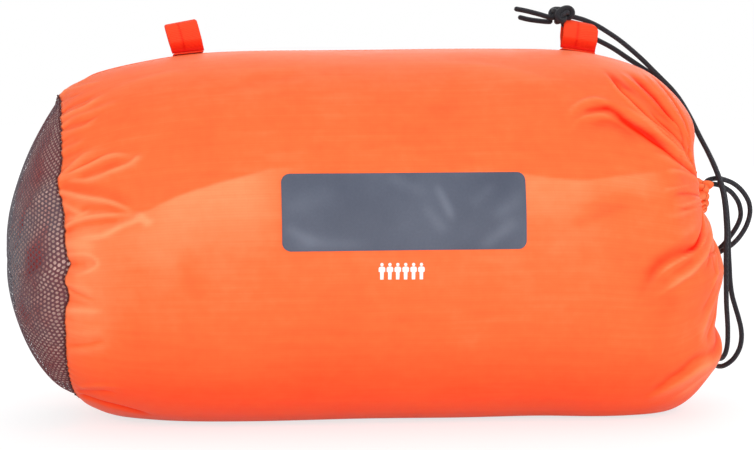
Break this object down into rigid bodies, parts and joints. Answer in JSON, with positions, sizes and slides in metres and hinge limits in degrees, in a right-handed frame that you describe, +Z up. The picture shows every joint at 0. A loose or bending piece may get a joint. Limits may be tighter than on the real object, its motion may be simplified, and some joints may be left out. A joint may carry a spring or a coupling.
{
  "type": "bothy bag group shelter in stuff sack",
  "caption": "Group emergency shelter packed in a stuffed cylindrical sack with a net base, drawn-cord mouth, knotted double cord and two sewn tape loops.",
  "frame": {"origin": "middle of the underside of the sack, on the surface it lies on", "axes": "+X along the sack towards the drawn mouth, -Y out of the printed front, +Z up through the seam that carries the tape loops"},
  "size_m": [0.3701, 0.1948, 0.1983],
  "materials": {
    "sack_fabric": "coated ripstop nylon, satin",
    "canopy_fabric": "coated ripstop nylon, satin",
    "net": "knitted hexagonal net, matt",
    "tape": "woven grosgrain tape, matt",
    "print": "screen print on nylon, satin",
    "cord": "braided sheath, matt",
    "seat_fabric": "heavy coated nylon, matt",
    "window_film": "clear flexible film",
    "reflective_tape": "silver retro-reflective tape"
  },
  "bodies": {
    "stuff_sack": {"sack_body": "sack_fabric", "lengthwise_seam": "sack_fabric", "drawcord_hem": "sack_fabric", "base_net_panel": "net", "base_seam_binding": "tape", "base_end_stitch_tab": "tape", "mouth_end_stitch_tab": "tape", "print_patch": "print", "drawcord_in_hem": "cord", "drawcord_front_strand": "cord", "drawcord_back_strand": "cord", "drawcord_front_tail": "cord", "drawcord_back_tail": "cord", "drawcord_knot": "cord", "shelter_canopy": "canopy_fabric", "upper_vent_sleeve": "canopy_fabric", "lower_vent_sleeve": "canopy_fabric", "upper_seat_panel": "seat_fabric", "lower_seat_panel": "seat_fabric", "upper_window_panel": "window_film", "lower_window_panel": "window_film", "upper_reflective_strip": "reflective_tape", "lower_reflective_strip": "reflective_tape"},
    "base_end_loop": {"base_end_tape_loop": "tape"},
    "mouth_end_loop": {"mouth_end_tape_loop": "tape"}
  },
  "joints": [
    {"name": "base_end_loop_fold", "type": "hinge", "parent": "stuff_sack", "child": "base_end_loop", "pos_m": [-0.08718, 0.01423, 0.17848], "axis": [0.9935, 0.0118, 0.113], "range_deg": [-60, 50]},
    {"name": "mouth_end_loop_fold", "type": "hinge", "parent": "stuff_sack", "child": "mouth_end_loop", "pos_m": [0.10794, 0.01432, 0.17913], "axis": [0.988, -0.0137, -0.1539], "range_deg": [-4, 8]}
  ]
}
